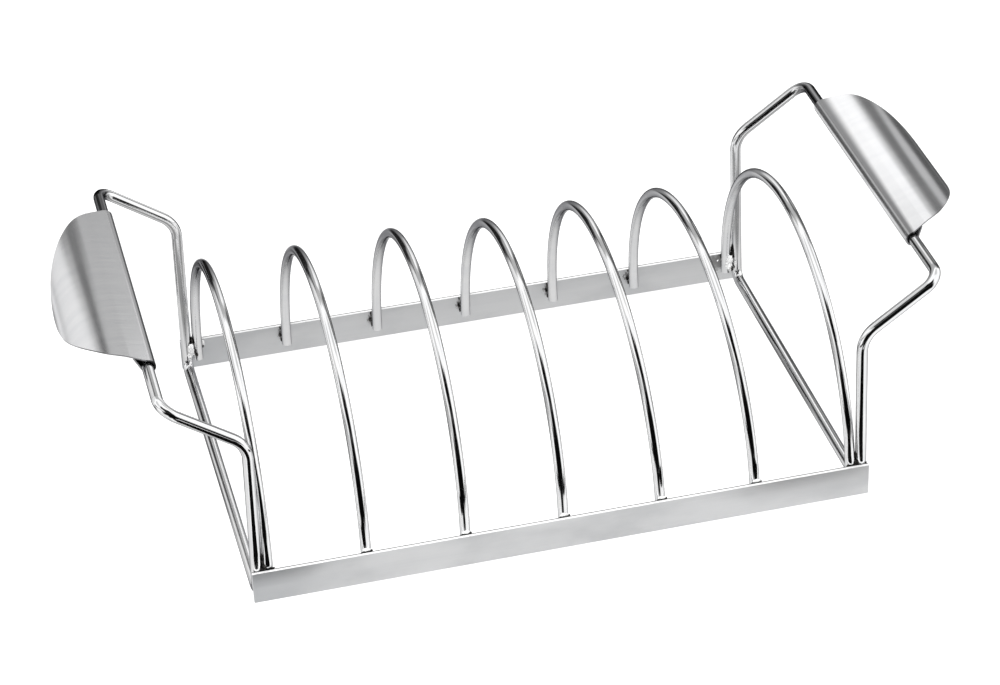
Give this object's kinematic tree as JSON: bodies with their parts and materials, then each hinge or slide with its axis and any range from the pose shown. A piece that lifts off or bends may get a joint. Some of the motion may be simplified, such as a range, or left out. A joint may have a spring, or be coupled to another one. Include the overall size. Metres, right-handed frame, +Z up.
{
  "type": "rib rack",
  "caption": "Steel wire rib rack: a row of upright half-round hoops between two flat bars, with a raised loop handle and a curled sheet hand guard at each end.",
  "frame": {"origin": "on the floor, under the middle of the rack", "axes": "+X along the two flat bars towards the right-hand guard, +Y from the front bar to the back bar, +Z up"},
  "size_m": [0.4372, 0.205, 0.1221],
  "materials": {
    "rail_steel": "satin brushed along the bar",
    "wire_steel": "bright polished round wire",
    "guard_steel": "bright satin sheet"
  },
  "bodies": {
    "root": {"front_rail": "rail_steel", "back_rail": "rail_steel", "hoop_1": "wire_steel", "hoop_2": "wire_steel", "hoop_3": "wire_steel", "hoop_4": "wire_steel", "hoop_5": "wire_steel", "hoop_6": "wire_steel", "hoop_7": "wire_steel", "left_end_frame": "wire_steel", "right_end_frame": "wire_steel", "left_hand_guard": "guard_steel", "right_hand_guard": "guard_steel"}
  },
  "joints": []
}
